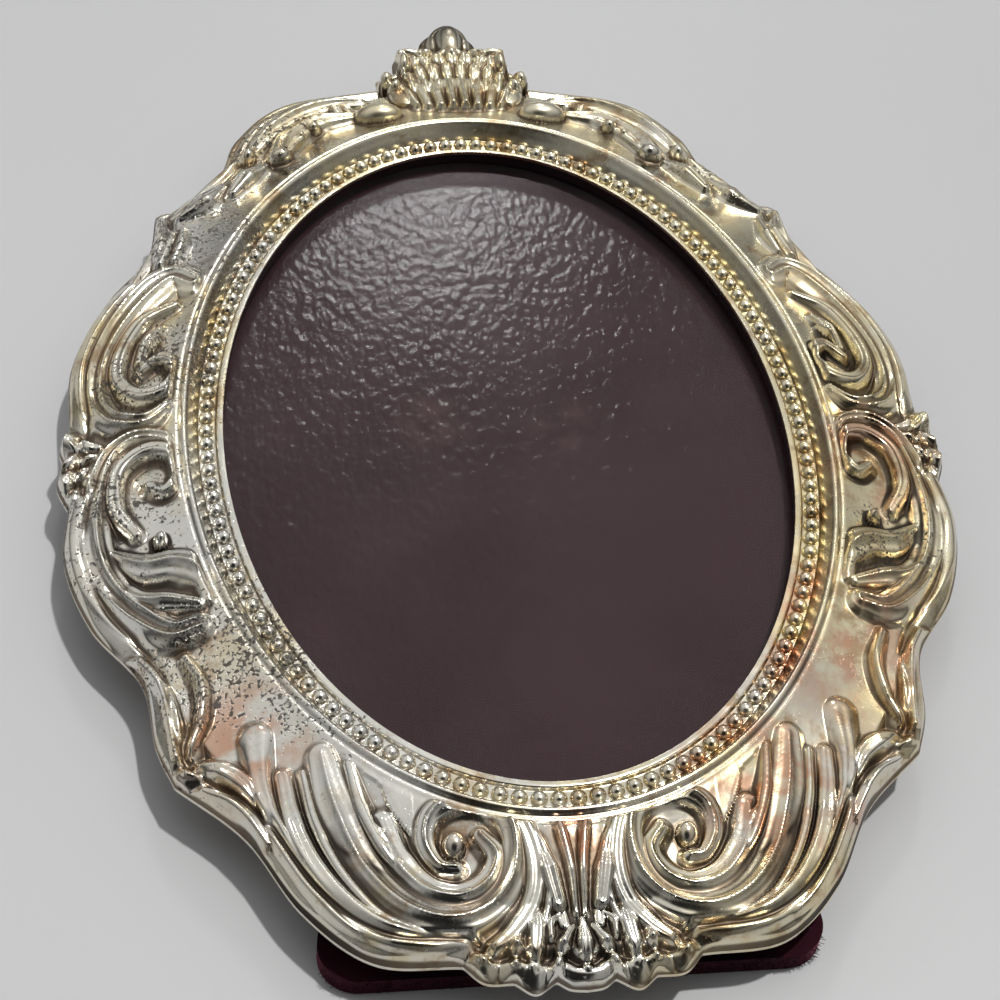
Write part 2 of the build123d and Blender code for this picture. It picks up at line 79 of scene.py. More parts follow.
# past the rim the field sags a little, then runs down onto the flange
FIELD_SAG = 0.5
FLANGE_RUN = 1.3
FAR_OUT = 50.0
# the section is sampled closely and softened, so that it has no hard corner
RIM_STEP = 0.02
RIM_SMOOTHING = 30
RIM_SOFTNESS = 0.13

# the lip's underside and its inner wall, from the flange up and inward
LIP_UNDERSIDE = [
    (3.0, FLANGE_Z), (3.0, 11.1), (2.9, 11.2), (1.3, 11.2), (1.2, 11.3), (1.2, 11.9),
    (1.1, 12.0), (0.05, 12.0), (0.0, 12.05), (0.0, 12.65),
]
# where the rim's rows of points lie, out from the opening
RIM_ROWS = np.r_[
    0.05, 0.3, 0.7, 0.95, np.arange(1.05, 1.36, 0.06), 1.7, 2.4, 3.2, 3.9,
    np.arange(4.1, 4.6, 0.08), np.arange(4.8, 5.8, 0.2), np.arange(5.8, 8.2, 0.1),
]
# where the groove's two corners are painted dark, as shade, and how widely
GROOVE_CREASES = [(1.3, 0.18), (4.25, 0.2)]

# the right half of the front's edge, in half widths of the opening
EDGE = [
    [(0, -2.177), (0.05, -2.17), (0.088, -2.145)],
    [(0.088, -2.145), (0.155, -2.18), (0.213, -2.141)],
    [(0.213, -2.141), (0.3, -2.135), (0.36, -2.078)],
    [(0.36, -2.078), (0.62, -2.05), (0.82, -1.87), (0.98, -1.6), (1.19, -1.4)],
    [(1.19, -1.4), (1.245, -1.25), (1.29, -1.0), (1.45, -0.77), (1.54, -0.5), (1.532, -0.26)],
    [(1.532, -0.26), (1.572, -0.15), (1.55, -0.05)],
    [(1.55, -0.05), (1.566, 0.02), (1.532, 0.1)],
    [(1.532, 0.1), (1.53, 0.42), (1.41, 0.75), (1.26, 0.99), (1.225, 1.225)],
    [(1.225, 1.225), (1.2, 1.245), (1.165, 1.25)],
    [(1.165, 1.25), (0.98, 1.46), (0.9, 1.68), (0.7, 1.9), (0.31, 1.995)],
    [(0.31, 1.995), (0.315, 2.05), (0.24, 2.06)],
    [(0.24, 2.06), (0.23, 2.18), (0.12, 2.18)],
    [(0.12, 2.18), (0.115, 2.29), (0.06, 2.362), (0, 2.376)],
]

# path and half widths in half widths of the opening, rises in full reliefs, reeds
LEAVES = [
    ([(0.57, -1.62), (0.54, -1.75), (0.46, -1.85), (0.36, -1.885), (0.27, -1.85),
      (0.235, -1.77), (0.28, -1.7)], [0.03, 0.048, 0.045, 0.036, 0.02], [0.3, 0.8, 0.9, 0.9, 0.6], 2),
    ([(0.74, -1.38), (0.71, -1.55), (0.64, -1.75), (0.54, -1.89), (0.42, -1.955), (0.3, -1.94),
      (0.2, -1.85), (0.175, -1.72), (0.22, -1.62), (0.33, -1.585), (0.42, -1.62), (0.445, -1.7),
      (0.41, -1.775), (0.355, -1.79)],
     [0.035, 0.058, 0.05, 0.045, 0.04, 0.036, 0.03, 0.018], [0.3, 0.8, 1.0, 1.0, 1.0, 0.9, 0.7, 0.5], 2),
    ([(0.86, -1.43), (0.84, -1.57), (0.79, -1.73), (0.7, -1.88), (0.58, -1.985), (0.45, -2.02),
      (0.34, -2.0)], [0.022, 0.038, 0.042, 0.042, 0.03], [0.3, 0.8, 1.0, 1.0, 0.5], 1),
    ([(0.94, -1.28), (0.93, -1.45), (0.88, -1.63), (0.8, -1.79), (0.7, -1.93), (0.58, -2.02)],
     [0.04, 0.032, 0.03, 0.03, 0.018], [0.3, 0.8, 0.9, 0.9, 0.4], 1),
    ([(0.27, -1.59), (0.17, -1.65), (0.125, -1.78), (0.135, -1.9), (0.2, -2.0), (0.3, -2.075)],
     [0.02, 0.034, 0.036, 0.034, 0.02], [0.2, 0.8, 1.0, 0.9, 0.4], 1),
    ([(0.06, -1.6), (0.035, -1.72), (0.018, -1.84), (0.014, -1.96)], [0.014, 0.02, 0.018, 0.012],
     [0.5, 0.9, 1.0, 0.6], 1),
    ([(0.1, -1.73), (0.09, -1.81), (0.066, -1.93)], [0.014, 0.034, 0.028], [0.5, 1.3, 1.1], 1),
    ([(0.0, -1.98), (0.0, -2.04), (0.0, -2.12)], [0.012, 0.026, 0.016], [0.7, 1.0, 0.5], 1),
    ([(0.03, -2.0), (0.066, -2.06), (0.088, -2.12)], [0.012, 0.022, 0.014], [0.6, 0.9, 0.5], 1),
    ([(0.066, -1.96), (0.094, -1.985), (0.098, -2.03)], [0.012, 0.016, 0.012], [0.6, 0.8, 0.6], 1),
    ([(0.13, -1.9), (0.138, -2.0), (0.155, -2.1)], [0.018, 0.03, 0.022], [0.5, 1.0, 0.6], 1),
    ([(1.145, -1.38), (1.06, -1.385), (0.98, -1.44), (0.93, -1.54)],
     [0.018, 0.036, 0.03, 0.016], [0.4, 0.9, 0.8, 0.4], 1),
    ([(1.1, -1.45), (1.02, -1.49), (0.96, -1.56), (0.91, -1.65)],
     [0.012, 0.024, 0.026, 0.014], [0.4, 0.7, 0.8, 0.4], 1),
    ([(1.29, -0.94), (1.225, -1.05), (1.19, -1.18), (1.18, -1.32)],
     [0.014, 0.024, 0.024, 0.014], [0.3, 0.8, 0.9, 0.4], 1),
    ([(1.15, -0.96), (1.1, -1.08), (1.105, -1.2), (1.145, -1.31)],
     [0.014, 0.022, 0.022, 0.012], [0.3, 0.8, 0.8, 0.4], 1),
    ([(1.14, -0.12), (1.2, -0.045), (1.3, -0.025), (1.39, -0.08), (1.44, -0.22), (1.455, -0.42),
      (1.42, -0.6), (1.33, -0.75), (1.2, -0.86), (1.1, -0.85)],
     [0.02, 0.036, 0.05, 0.062, 0.066, 0.06, 0.04], [0.3, 0.9, 0.9, 0.9, 0.9, 1.0, 0.6], 3),
    ([(1.3, -0.44), (1.37, -0.32), (1.36, -0.17), (1.27, -0.1), (1.18, -0.13), (1.155, -0.22),
      (1.2, -0.285), (1.255, -0.25)],
     [0.018, 0.032, 0.032, 0.03, 0.026, 0.018], [0.4, 0.9, 1.0, 1.0, 0.9, 0.6], 1),
    ([(1.39, -0.5), (1.28, -0.585), (1.17, -0.6), (1.08, -0.66), (1.06, -0.74)],
     [0.02, 0.044, 0.05, 0.03], [0.4, 0.9, 1.0, 0.5], 2),
    ([(1.09, 0.74), (1.17, 0.79), (1.27, 0.71), (1.37, 0.56), (1.435, 0.38), (1.44, 0.2),
      (1.38, 0.08), (1.27, 0.05), (1.18, 0.12)],
     [0.05, 0.08, 0.068, 0.056, 0.05, 0.046, 0.024], [0.5, 0.9, 0.9, 0.9, 0.9, 1.0, 0.4], 3),
    ([(1.16, 0.63), (1.27, 0.57), (1.345, 0.43), (1.365, 0.28), (1.3, 0.175), (1.2, 0.175),
      (1.15, 0.27), (1.21, 0.345), (1.285, 0.3)],
     [0.018, 0.03, 0.032, 0.032, 0.032, 0.03, 0.018], [0.4, 0.8, 0.9, 1.0, 1.0, 0.9, 0.6], 1),
    ([(1.21, 0.52), (1.26, 0.44), (1.29, 0.36)], [0.012, 0.026, 0.012], [0.3, 0.8, 0.3], 1),
    ([(1.195, 1.15), (1.185, 1.03), (1.215, 0.9)], [0.02, 0.036, 0.02], [0.4, 0.8, 0.4], 1),
    ([(0.4, 1.84), (0.52, 1.835), (0.66, 1.77), (0.78, 1.66), (0.85, 1.54)],
     [0.03, 0.05, 0.048, 0.03], [0.6, 0.9, 0.9, 0.5], 2),
    ([(0.44, 1.74), (0.57, 1.72), (0.68, 1.62), (0.74, 1.47)],
     [0.024, 0.05, 0.056, 0.04], [0.4, 0.8, 0.9, 0.9], 2),
    ([(0.8, 1.42), (0.87, 1.35), (0.93, 1.26)], [0.018, 0.04, 0.022], [0.3, 0.9, 0.5], 1),
    ([(0.97, 1.33), (1.05, 1.235), (1.13, 1.175)], [0.018, 0.046, 0.02], [0.3, 0.9, 0.4], 1),
    ([(0.025, 1.77), (0.028, 1.92), (0.035, 2.08)], [0.018, 0.024, 0.02], [0.7, 1.0, 1.0], 1),
    ([(0.075, 1.77), (0.085, 1.9), (0.1, 2.05)], [0.018, 0.026, 0.022], [0.6, 1.0, 1.0], 1),
    ([(0.125, 1.78), (0.145, 1.88), (0.17, 2.02)], [0.018, 0.026, 0.022], [0.5, 0.9, 0.9], 1),
    ([(1.43, -0.02), (1.49, 0.0), (1.54, 0.03)], [0.016, 0.026, 0.026], [0.4, 0.6, 0.5], 1),
    ([(1.44, -0.06), (1.5, -0.07), (1.545, -0.09)], [0.014, 0.024, 0.022], [0.4, 0.6, 0.5], 1),
    ([(1.45, -0.12), (1.5, -0.14), (1.54, -0.17)], [0.014, 0.028, 0.026], [0.4, 0.7, 0.5], 1),
    ([(1.46, -0.18), (1.49, -0.22), (1.51, -0.25)], [0.012, 0.022, 0.018], [0.4, 0.6, 0.4], 1),
    # low masses under the palmette
    ([(0.0, -1.6), (0.0, -1.8), (0.0, -2.04)], [0.12, 0.1, 0.09], [0.3, 0.45, 0.4], 1),
    ([(0.17, -1.8), (0.16, -1.95), (0.19, -2.06)], [0.05, 0.07, 0.05], [0.3, 0.45, 0.35], 1),
    # finer strokes between the main leaves
    ([(0.15, -1.66), (0.1, -1.8), (0.065, -1.92), (0.055, -1.99)], [0.014, 0.03, 0.02], [0.4, 0.9, 0.6], 1),
    ([(0.2, -1.6), (0.1, -1.75), (0.09, -1.9), (0.13, -2.02), (0.19, -2.08)],
     [0.01, 0.018, 0.018, 0.012], [0.3, 0.8, 0.9, 0.4], 1),
    ([(0.19, -2.0), (0.205, -2.06), (0.21, -2.1)], [0.014, 0.022, 0.014], [0.4, 0.8, 0.4], 1),
    ([(0.66, -1.42), (0.63, -1.58), (0.56, -1.74), (0.47, -1.83)], [0.012, 0.024, 0.024, 0.012],
     [0.2, 0.6, 0.8, 0.5], 1),
    ([(0.62, -1.6), (0.58, -1.68), (0.53, -1.74)], [0.014, 0.03, 0.014], [0.3, 0.7, 0.4], 1),
    ([(0.8, -1.43), (0.77, -1.6), (0.7, -1.78), (0.6, -1.92), (0.47, -1.99)],
     [0.012, 0.022, 0.022, 0.014], [0.3, 0.8, 0.8, 0.5], 1),
    ([(1.42, -0.6), (1.3, -0.72), (1.18, -0.75), (1.1, -0.77)], [0.02, 0.04, 0.036, 0.02],
     [0.4, 0.9, 1.0, 0.5], 2),
    ([(1.12, 1.08), (1.13, 0.98), (1.16, 0.9)], [0.012, 0.022, 0.012], [0.3, 0.7, 0.3], 1),
    ([(0.45, 1.8), (0.5, 1.79), (0.48, 1.72)], [0.014, 0.026, 0.014], [0.3, 0.9, 0.4], 1),
    ([(1.22, 0.46), (1.25, 0.4), (1.275, 0.34)], [0.01, 0.016, 0.01], [0.4, 1.0, 0.4], 1),
    ([(0.17, 1.79), (0.2, 1.87), (0.235, 1.97)], [0.012, 0.022, 0.014], [0.4, 0.8, 0.6], 1),
]

# place, half width and half height in half widths of the opening, rise
BOSSES = [
    (0.335, 1.72, 0.095, 0.062, 1.15),
    (0.865, 1.505, 0.036, 0.04, 1.0),
    (0.74, 1.455, 0.05, 0.04, 1.1),
    (0.6, 1.64, 0.032, 0.03, 1.0),
    (0.275, 1.99, 0.036, 0.04, 1.0),
    (0.185, 2.08, 0.056, 0.072, 1.5),
    (0.25, 1.94, 0.034, 0.042, 1.2),
    (0.21, 1.93, 0.07, 0.13, 0.6),
    (1.22, -0.49, 0.025, 0.03, 0.9),
    (0.36, -1.72, 0.035, 0.04, 0.7),
    (0.65, 1.59, 0.02, 0.02, 0.8),
    (0.0, 2.12, 0.03, 0.035, 1.5),
]
# the ball on top, with its rise in mm
BALL = (0.0, 2.235, 0.094, 0.125, 5.6)
# height up the crest, gap and first place across, half width, half height, rise
CREST_ROWS = [
    (1.82, 0.052, 0.026, 0.022, 0.06, 0.3),
    (1.92, 0.056, 0.0, 0.024, 0.055, 0.4),
    (2.01, 0.056, 0.028, 0.024, 0.055, 0.4),
    (2.1, 0.06, 0.0, 0.026, 0.05, 0.4),
]


def smooth_path(points, count):
    """A smooth curve through the points, with some steps between each two."""
    p = np.array(points, float)
    p = np.vstack([2 * p[0] - p[1], p, 2 * p[-1] - p[-2]])
    parts = []
    for i in range(1, len(p) - 2):
        t = np.linspace(0, 1, count, endpoint=False)[:, None]
        a, b, c, d = p[i - 1], p[i], p[i + 1], p[i + 2]
        bend = (2 * b) + (c - a) * t + (2 * a - 5 * b + 4 * c - d) * t**2 + (3 * b - a - 3 * c + d) * t**3
        parts.append(bend / 2)
    parts.append(p[-2][None])
    return np.vstack(parts)


def along(values, t):
    return np.interp(t, np.linspace(0, 1, len(values)), values)


def ramp(low, high, value):
    t = np.clip((value - low) / (high - low), 0, 1)
    return t * t * (3 - 2 * t)


def bell(value, width):
    return np.exp(-((value / width) ** 2))


def dome(share):
    return np.sqrt(np.clip(1 - share**2, 0, 1))


def soft_max(a, b, blend):
    gap = np.clip(blend - np.abs(a - b), 0, None)
    return np.maximum(a, b) + gap * gap / (4 * blend)


def shifted(values, step, axis):
    """The same values, moved round the ring of columns or outward by some rows."""
    if axis == 0:
        return np.roll(values, step, axis=0)
    last = values.shape[1] - 1
    return np.take(values, np.clip(np.arange(last + 1) + step, 0, last), axis=1)


def blur(values, reach):
    for axis in (0, 1):
        values = sum(shifted(values, step, axis) for step in range(-reach, reach + 1)) / (2 * reach + 1)
    return values


def lowest(values, round_reach, out_reach):
    """The least of each value and its neighbours round the ring and outward."""
    for axis, reach in enumerate((round_reach, out_reach)):
        values = np.minimum.reduce([shifted(values, step, axis) for step in range(-reach, reach + 1)])
    return values


def rim_table():
    """The height of the rim and the plain field, by how far out from the opening."""
    m = np.arange(RIM_SECTION[0][0], FAR_OUT, RIM_STEP)
    slope = np.linspace(0, 1, 12)
    field_m = FIELD_IN + slope * (FIELD_OUT - FIELD_IN)
    field_z = FIELD_TOP_Z - (slope + FIELD_SAG * slope * (1 - slope)) * (FIELD_TOP_Z - FIELD_FOOT_Z)
    section_m, section_z = zip(*RIM_SECTION)
    points_m = [*section_m, *field_m, FIELD_OUT + FLANGE_RUN, FAR_OUT]
    points_z = [*section_z, *field_z, FLANGE_TOP_Z, FLANGE_TOP_Z]
    z = np.interp(m, points_m, points_z)
    steps = np.arange(-RIM_SMOOTHING, RIM_SMOOTHING + 1)
    kernel = np.exp(-0.5 * (steps * RIM_STEP / RIM_SOFTNESS) ** 2)
    kernel /= kernel.sum()
    return m, np.convolve(np.pad(z, RIM_SMOOTHING, mode="edge"), kernel, mode="valid")


RIM_M, RIM_Z = rim_table()


def oval_points(turns, m):
    x = (HALF_WIDTH + m) * np.cos(turns)
    y = (HALF_HEIGHT + m) * np.sin(turns)
    return x, y


def rim_distance(x, y):
    """How far out from the opening each spot lies, by halving the span that holds it."""
    halvings = 40
    near = np.full(np.shape(x), -HALF_WIDTH / 2)
    far = np.full(np.shape(x), HALF_HEIGHT)
    for _ in range(halvings):
        middle = (near + far) / 2
        over = np.hypot(x / (HALF_WIDTH + middle), y / (HALF_HEIGHT + middle)) > 1
        near = np.where(over, middle, near)
        far = np.where(over, far, middle)
    return near


def edge_spots(count):
    return np.vstack([smooth_path(run, count) for run in EDGE]) * HALF_WIDTH


def outline(turns):
    """How far out the front's edge lies along each ray of the oval."""
    spots = edge_spots(EDGE_SAMPLES)
    m = rim_distance(spots[:, 0], spots[:, 1])
    angle = np.arctan2(spots[:, 1] / (HALF_HEIGHT + m), spots[:, 0] / (HALF_WIDTH + m))
    angle = np.maximum.accumulate(angle) + np.arange(len(angle)) * 1e-9
    folded = np.arcsin(np.clip(np.sin(turns), -1, 1))
    return np.interp(folded, angle, m)


def edge_points():
    """The front's edge as closely set points."""
    spots = edge_spots(EDGE_FINE_SAMPLES)
    tree = KDTree(len(spots))
    for index, (x, y) in enumerate(spots):
        tree.insert((x, y, 0), index)
    tree.balance()
    return tree


EDGE_POINTS = edge_points()


def edge_distance(x, y, m, m_out):
    """How far each spot lies inside the front's edge."""
    measured_reach = 12.0
    inside = m_out - m
    near = inside < measured_reach
    inside[near] = [EDGE_POINTS.find((px, py, 0))[2] for px, py in zip(np.abs(x[near]), y[near])]
    return inside


def place_on_leaf(px, py, spots, half, rise):
    """For spots near a leaf: how far across it they lie, on which side, and its rise and width there."""
    far_off = 9.0
    heading = np.gradient(spots, axis=0)
    best = np.full(px.shape, far_off)
    side = np.zeros(px.shape)
    lift = np.zeros(px.shape)
    wide = np.zeros(px.shape)
    for k in range(len(spots)):
        dx, dy = px - spots[k, 0], py - spots[k, 1]
        share = np.hypot(dx, dy) / half[k]
        closer = share < best
        turn = np.sign(heading[k, 0] * dy - heading[k, 1] * dx)
        best = np.where(closer, share, best)
        side = np.where(closer, turn, side)
        lift = np.where(closer, rise[k], lift)
        wide = np.where(closer, half[k], wide)
    return best, side, lift, wide


def raise_leaf(x, y, level, height, cavity, path, widths, rises, reeds):
    """Raises one leaf: a reeded one with flutes along it, or a plain one with a soft vein."""
    swell, search, blend, fall = 1.22, 2.2, 0.12, 0.9
    flute_depth, flute_shade, vein_depth, vein_width, vein_leaf_width = 0.42, 0.35, 0.22, 0.3, 1.5
    spots = smooth_path(path, LEAF_SAMPLES) * HALF_WIDTH
    run = np.r_[0, np.cumsum(np.hypot(*np.diff(spots, axis=0).T))]
    t = run / run[-1]
    half = along(widths, t) * HALF_WIDTH * swell
    rise = along(rises, t) * RELIEF
    reach = half.max() * search
    low, high = spots.min(0) - reach, spots.max(0) + reach
    index = np.nonzero((x > low[0]) & (x < high[0]) & (y > low[1]) & (y < high[1]))
    best, side, lift, wide = place_on_leaf(x[index], y[index], spots, half, rise)
    if reeds > 1:
        flute = np.abs(np.sin(np.pi * reeds * (best * side + 1) / 2)) * (best < 1)
        # painted shade along the flutes
        cavity[index] = np.maximum(cavity[index], flute_shade * flute)
        crown = 1.12 - best**5 - flute_depth * flute
        foot = 0.12
    else:
        vein = vein_depth * bell(best, vein_width) * (half.max() > vein_leaf_width)
        crown = 1.1 - best**2.2 - vein
        foot = 0.1
    skirt = fall * np.clip(best - 1, 0, None) * wide
    top = level[index] + lift * np.where(best < 1, crown, foot) - skirt
    height[index] = soft_max(height[index], top, blend)


def raise_boss(x, y, level, height, boss_x, boss_y, half_x, half_y, rise):
    fall, brink, fallen = 2.6, 0.98, 1.12
    dx = (x - boss_x * HALF_WIDTH) / (half_x * HALF_WIDTH)
    dy = (y - boss_y * HALF_WIDTH) / (half_y * HALF_WIDTH)
    share = np.hypot(dx, dy)
    top = level + rise * RELIEF * dome(share) - fall * ramp(brink, fallen, share)
    height[:] = np.maximum(height, top)


def crest_body(x, y):
    """The fluted fan under the small leaves, and how far inside it each spot is."""
    foot, top, fan_centre = 1.76 * HALF_WIDTH, 2.17 * HALF_WIDTH, 1.2 * HALF_WIDTH
    foot_half, spread, flutes = 0.19, 0.05, 42
    foot_rise, top_rise, flute_rise = 0.5, 0.4, 0.12
    up = np.clip((y - foot) / (top - foot), 0, 1)
    half = (foot_half + spread * up) * HALF_WIDTH
    inside = ramp(1.08, 0.9, np.abs(x) / half) * ramp(foot - 1.2, foot, y) * ramp(top + 2.0, top - 1.0, y)
    flute = np.abs(np.sin(flutes * x / (y - fan_centre)))
    body = FIELD_FOOT_Z + RELIEF * (foot_rise + top_rise * up + flute_rise * flute)
    return FLANGE_TOP_Z + (body - FLANGE_TOP_Z) * inside, inside


def crest(x, y, height):
    """The fan of small leaves in rising rows, and the ball over it."""
    row_arch, leaf_lean, leaf_vein, vein_width = 0.5, 1.75, 0.25, 0.25
    body, inside = crest_body(x, y)
    height = np.where(inside > 0, np.maximum(height, body), height)
    for row_y, gap, start, half_x, half_y, rise in CREST_ROWS:
        for step in range(4):
            leaf_x = start + gap * step
            dx, dy = x / HALF_WIDTH - leaf_x, y / HALF_WIDTH - row_y + row_arch * leaf_x**2
            share = np.hypot((dx - leaf_lean * leaf_x * dy) / half_x, dy / half_y)
            leaf_top = body + rise * RELIEF * (dome(share) - leaf_vein * bell(dx / half_x, vein_width))
            height = np.where((share < 1) & (inside > 0.5), np.maximum(height, leaf_top), height)
    ball_x, ball_y, half_x, half_y, rise = BALL
    share = np.hypot((x - ball_x) / (half_x * HALF_WIDTH), (y / HALF_WIDTH - ball_y) / half_y)
    return np.where(share < 1, np.maximum(height, FLANGE_TOP_Z + rise * dome(share)), height)


def surface(x, y, m, m_out):
    """Height of the front's face and how deep each spot sits in a flute."""
    buried, crest_from = -9.0, 1.7 * HALF_WIDTH
    edge_rise, edge_round, edge_dip, dip_width = 6.5, 1.5, 0.22, 0.35
    border_in, border_width, border_depth, border_rise = 3.1, 0.75, 0.5, 2.4
    base = np.interp(m, RIM_M, RIM_Z)
    slope = np.clip((m - FIELD_IN) / (FIELD_OUT - FIELD_IN), 0, 1)
    level = np.where(m < FIELD_IN, buried, FIELD_TOP_Z - slope * (FIELD_TOP_Z - FIELD_FOOT_Z))
    height = base.copy()
    cavity = np.zeros(x.shape)
    ax = np.abs(x)
    for leaf in LEAVES:
        raise_leaf(ax, y, level, height, cavity, *leaf)
    for boss in BOSSES:
        raise_boss(ax, y, level, height, *boss)
    height = np.where(y > crest_from, crest(ax, y, height), height)
    height = base + (height - base) * ramp(FIELD_IN + 0.1, FIELD_IN + 1.5, m)
    edge = edge_distance(x, y, m, m_out)
    limit = FLANGE_TOP_Z + edge_rise * ramp(0.0, edge_round, edge)
    height = np.where(m > FIELD_OUT, np.minimum(height, limit), height)
    height -= edge_dip * bell(edge, dip_width)
    channel = bell(edge - border_in, border_width) * ramp(FIELD_OUT - 4, FIELD_OUT, m)
    height -= border_depth * channel * np.clip(height - FLANGE_TOP_Z, 0, border_rise)
    return height, cavity


def normals_of(spots):
    """Smooth normals of a ring of points: columns go round, rows go outward."""
    round_way = np.roll(spots, -1, axis=0) - np.roll(spots, 1, axis=0)
    out_way = np.gradient(spots, axis=1)
    n = np.cross(out_way, round_way)
    return n / np.maximum(np.linalg.norm(n, axis=2, keepdims=True), 1e-12)


def placed_object(name, data):
    piece = bpy.data.objects.new(name, data)
    bpy.context.scene.collection.objects.link(piece)
    return piece


def mesh_of(name, build):
    mesh = bpy.data.meshes.new(name)
    build.to_mesh(mesh)
    build.free()
    return mesh


def skin(name, spots, cavity, start, stop):
    """One piece of the front's face: a plain grid, bent and raised onto the points."""
    weld = 1e-7
    columns, rows = stop - start, spots.shape[1] - 1
    sheet = bmesh.new()
    bmesh.ops.create_grid(sheet, x_segments=columns, y_segments=rows, size=1.0)
    bmesh.ops.reverse_faces(sheet, faces=sheet.faces)
    mesh = mesh_of(name, sheet)
    flat = np.zeros(len(mesh.vertices) * 3)
    mesh.vertices.foreach_get("co", flat)
    flat = flat.reshape(-1, 3)
    i = (start + np.rint((flat[:, 0] + 1) / 2 * columns).astype(int)) % spots.shape[0]
    j = np.rint((flat[:, 1] + 1) / 2 * rows).astype(int)
    placed = spots[i, j] + np.array([0, CENTRE_Y, 0])
    mesh.vertices.foreach_set("co", (placed * MM).ravel())
    vector = mesh.attributes.new("facing", "FLOAT_VECTOR", "POINT")
    vector.data.foreach_set("vector", normals_of(spots)[i, j].ravel())
    depth = mesh.attributes.new("cavity", "FLOAT", "POINT")
    depth.data.foreach_set("value", cavity[i, j])
    if columns == spots.shape[0]:
        ring = bmesh.new()
        ring.from_mesh(mesh)
        bmesh.ops.remove_doubles(ring, verts=ring.verts, dist=weld)
        ring.to_mesh(mesh)
        ring.free()
    mesh.polygons.foreach_set("use_smooth", np.ones(len(mesh.polygons), bool))
    facing = np.zeros(len(mesh.vertices) * 3)
    mesh.attributes["facing"].data.foreach_get("vector", facing)
    mesh.normals_split_custom_set_from_vertices(facing.reshape(-1, 3).tolist())
    mesh.attributes.remove(mesh.attributes["facing"])
    mesh.update()
    return placed_object(name, mesh)


def halves(name, spots, cavity):
    half = COLUMNS // 2
    right = skin(name + "_right", spots, cavity, 0, half)
    left = skin(name + "_left", spots, cavity, half, COLUMNS)
    return [right, left]


def rim(turns):
    """Under the lip, over it, across the groove and up over the ridge."""
    crease_shade = 0.6
    under_m, under_z = np.array(LIP_UNDERSIDE).T
    rows_m = np.r_[under_m, RIM_ROWS]
    m = np.broadcast_to(rows_m, (COLUMNS, len(rows_m)))
    x, y = oval_points(turns, m)
    z = np.interp(m, RIM_M, RIM_Z)
    z[:, :len(under_z)] = under_z
    # painted shade in the groove's two corners, carried by the cavity attribute
    creases = sum(bell(m - place, width) for place, width in GROOVE_CREASES)
    return halves("front_rim", np.dstack([x, y, z]), crease_shade * creases)


def field(turns, m_out):
    """The field and its ornament, from the ridge out to the edge and down it."""
    crease_reach, crease_depth, flute_share = 5, 0.45, 0.6
    wall_out, wall_down = np.array([[0.05, 0.06, 0.05]]), (0.08, 0.3)
    share = np.linspace(0, 1, FIELD_ROWS)[None, :]
    m = RIM_ROWS[-1] + share * (m_out - RIM_ROWS[-1])
    x, y = oval_points(turns, m)
    z, flutes = surface(x, y, m, m_out)
    # painted shade: spots lying lower than their surroundings, and the flutes, are darkened through the
    # cavity attribute
    cavity = np.clip((blur(z, crease_reach) - z) / crease_depth, 0, 1) + flute_share * flutes
    wall_x, wall_y = oval_points(turns, m_out + wall_out)
    wall_z = [*(z[:, -1] - down for down in wall_down), np.full(COLUMNS, FLANGE_Z)]
    wall_z = np.stack(wall_z, axis=1)
    spots = np.dstack([np.hstack([x, wall_x]), np.hstack([y, wall_y]), np.hstack([z, wall_z])])
    return halves("front_field", spots, np.hstack([cavity, np.zeros(wall_z.shape)]))


def back_face(turns, m_out):
    """The back of the plate, a little more than its thickness under the face."""
    start, flat_run, under = 3.0, 4.0, PLATE + 0.1
    round_reach, out_reach, softness = 4, 1, 2
    share = np.linspace(0, 1, BACK_ROWS)[None, :]
    m = start + share * (m_out - start)
    x, y = oval_points(turns, m)
    z, _ = surface(x, y, m, m_out)
    z = np.maximum(blur(lowest(z, round_reach, out_reach), softness) - under, FLANGE_Z)
    z = np.where(m < flat_run, FLANGE_Z, z)
    z[:, -1] = FLANGE_Z
    back = skin("front_back_face", np.dstack([x, y, z]), np.zeros(x.shape), 0, COLUMNS)
    back.data.flip_normals()
    return back


def front_faces():
    turns = -math.pi / 2 + 2 * math.pi * np.arange(COLUMNS)[:, None] / COLUMNS
    m_out = outline(turns)
    return [*rim(turns), *field(turns, m_out), back_face(turns, m_out)]


def beads():
    """The string of beads in the groove, each cut off just under the groove's floor."""
    pitch, radius, sunk, shade_top, shade_depth = 2.95, 2.75 / 2, 0.45, 12.2, 0.5
    middle = LIP_WIDTH + GROOVE_WIDTH / 2
    turns = np.linspace(0, 2 * math.pi, 4001)
    x, y = oval_points(turns, middle)
    run = np.r_[0, np.cumsum(np.hypot(np.diff(x), np.diff(y)))]
    count = round(run[-1] / pitch)
    string = bmesh.new()
    for step in range(count):
        turn = np.interp(step / count * run[-1], run, turns)
        bead_x, bead_y = oval_points(turn, middle)
        place = Matrix.Translation(Vector((bead_x, bead_y + CENTRE_Y, GROOVE_Z)) * MM)
        spot = place @ Matrix.Rotation(turn, 4, "Z")
        bmesh.ops.create_icosphere(string, subdivisions=2, radius=radius * MM, matrix=spot)
    floor_z = (GROOVE_Z - sunk) * MM
    below = [face for face in string.faces if all(corner.co.z < floor_z for corner in face.verts)]
    bmesh.ops.delete(string, geom=below, context="FACES")
    mesh = mesh_of("bead_ring", string)
    mesh.polygons.foreach_set("use_smooth", np.ones(len(mesh.polygons), bool))
    depth = mesh.attributes.new("cavity", "FLOAT", "POINT")
    # painted shade: each bead is darker the lower it goes into the groove
    shade = [(shade_top - vertex.co.z / MM) / shade_depth for vertex in mesh.vertices]
    depth.data.foreach_set("value", np.clip(shade, 0, 1))
    return placed_object("bead_ring", mesh)


def slab(middle, size):
    """Where a unit cube goes to be a slab; both in mm."""
    return Matrix.Translation(Vector(middle) * MM) @ Matrix.Diagonal((*(Vector(size) * MM), 1.0))


